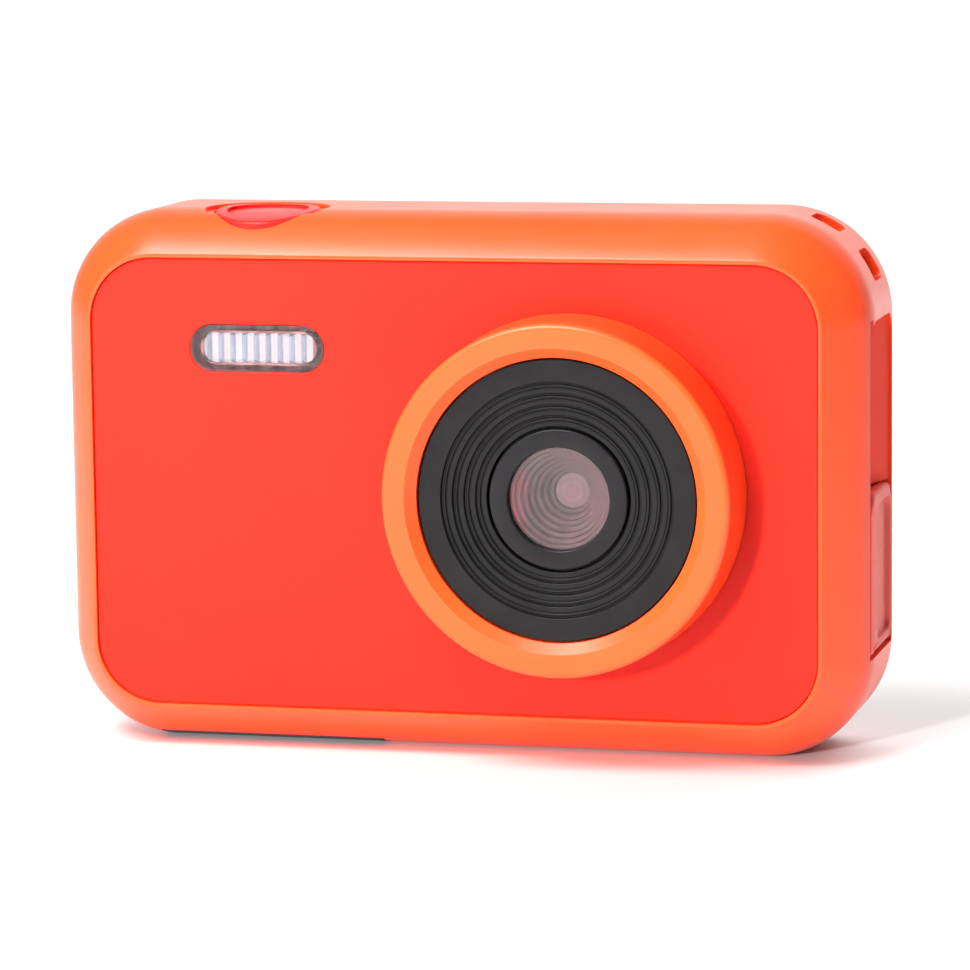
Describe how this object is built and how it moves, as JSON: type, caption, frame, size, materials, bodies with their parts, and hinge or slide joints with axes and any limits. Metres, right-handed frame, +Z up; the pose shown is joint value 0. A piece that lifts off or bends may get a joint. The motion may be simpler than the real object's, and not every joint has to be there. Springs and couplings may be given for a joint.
{
  "type": "compact action camera",
  "caption": "Pocket digital camera with a bevelled two-part casing, round raised lens ring, flash window, shutter button, hinged rubber port cover, strap slots and rear screen with keys.",
  "frame": {"origin": "bottom centre of the bounding box, on the surface that the camera stands on", "axes": "+Z up, the lens looks along -Y, +X on the right when the lens is faced"},
  "size_m": [0.08, 0.0294, 0.0523],
  "materials": {
    "shell_orange": "fine satin texture",
    "ring_orange": "fine satin texture",
    "panel_gloss": "smooth gloss",
    "adhesive": "sticky film",
    "seal_foam": "closed cell foam",
    "steel": "zinc plated",
    "bezel_black": "fine matt texture",
    "collar_black": "satin",
    "clear_glass": "clear",
    "lens_glass": "coated",
    "baffle_plastic": "satin",
    "inner_black": "matt",
    "filter_glass": "coated",
    "sensor_face": "glossy",
    "board_green": "solder mask",
    "connector_plastic": "moulded",
    "clear_plastic": "clear moulding",
    "pearl_plastic": "pearl",
    "led_yellow": "phosphor",
    "chip_black": "moulded",
    "socket_steel": "drawn steel",
    "switch_black": "moulded",
    "battery_wrap": "laminated foil",
    "wire_jacket": "insulated wire",
    "lcd_face": "glossy",
    "ribbon_amber": "polyimide film",
    "window_black": "polished",
    "speaker_black": "moulded",
    "button_red": "satin",
    "key_red": "satin",
    "cover_rubber": "soft touch",
    "label_film": "printed film, blank",
    "nut_brass": "turned"
  },
  "bodies": {
    "camera_body": {"aperture_stop": "inner_black", "battery": "battery_wrap", "battery_plug": "connector_plastic", "battery_tape": "seal_foam", "battery_wires": "wire_jacket", "board_screws": "steel", "card_socket": "socket_steel", "flash_board": "board_green", "flash_diffuser": "pearl_plastic", "flash_leds": "led_yellow", "flash_window": "clear_plastic", "front_panel": "panel_gloss", "front_shell": "shell_orange", "image_sensor": "sensor_face", "ir_filter": "filter_glass", "key_board": "board_green", "key_switches": "switch_black", "lcd_connector": "connector_plastic", "lcd_frame": "inner_black", "lcd_module": "lcd_face", "lcd_ribbon": "ribbon_amber", "lens_baffle": "baffle_plastic", "lens_barrel": "inner_black", "lens_bezel": "bezel_black", "lens_collar": "collar_black", "lens_cover_glass": "clear_glass", "lens_front_element": "lens_glass", "lens_gasket": "seal_foam", "lens_holder": "inner_black", "lens_rear_elements": "lens_glass", "lens_ring": "ring_orange", "main_board": "board_green", "memory_chip": "chip_black", "microphone": "socket_steel", "panel_adhesive": "adhesive", "power_chip": "chip_black", "processor": "chip_black", "rating_label": "label_film", "rear_shell": "shell_orange", "reset_switch": "switch_black", "ring_screws": "steel", "screen_window": "window_black", "sensor_board": "board_green", "sensor_connector": "connector_plastic", "shell_screws": "steel", "shutter_board": "board_green", "shutter_switch": "switch_black", "speaker": "speaker_black", "speaker_wires": "wire_jacket", "status_light": "clear_plastic", "tripod_nut": "nut_brass", "usb_socket": "socket_steel"},
    "shutter_button": {"shutter_button": "button_red"},
    "port_flap": {"port_cover": "cover_rubber"},
    "power_key": {"power_key": "key_red"},
    "up_key": {"up_key": "key_red"},
    "ok_key": {"ok_key": "key_red"},
    "down_key": {"down_key": "key_red"},
    "menu_key": {"menu_key": "key_red"}
  },
  "joints": [
    {"name": "shutter_press", "type": "slide", "parent": "camera_body", "child": "shutter_button", "axis": [0, 0, -1], "range_m": [0, 0.0005], "stiffness_N_per_m": 1500, "springref_m": -0.0002},
    {"name": "power_press", "type": "slide", "parent": "camera_body", "child": "power_key", "axis": [0, -1, 0], "range_m": [0, 0.0003], "stiffness_N_per_m": 2000, "springref_m": -0.0002},
    {"name": "up_press", "type": "slide", "parent": "camera_body", "child": "up_key", "axis": [0, -1, 0], "range_m": [0, 0.0003], "stiffness_N_per_m": 2000, "springref_m": -0.0002},
    {"name": "ok_press", "type": "slide", "parent": "camera_body", "child": "ok_key", "axis": [0, -1, 0], "range_m": [0, 0.0003], "stiffness_N_per_m": 2000, "springref_m": -0.0002},
    {"name": "down_press", "type": "slide", "parent": "camera_body", "child": "down_key", "axis": [0, -1, 0], "range_m": [0, 0.0003], "stiffness_N_per_m": 2000, "springref_m": -0.0002},
    {"name": "menu_press", "type": "slide", "parent": "camera_body", "child": "menu_key", "axis": [0, -1, 0], "range_m": [0, 0.0003], "stiffness_N_per_m": 2000, "springref_m": -0.0002},
    {"name": "port_flap_hinge", "type": "hinge", "parent": "camera_body", "child": "port_flap", "pos_m": [0.0391, 0.00347, 0.0109], "axis": [0, 1, 0], "range_deg": [0, 100]}
  ]
}
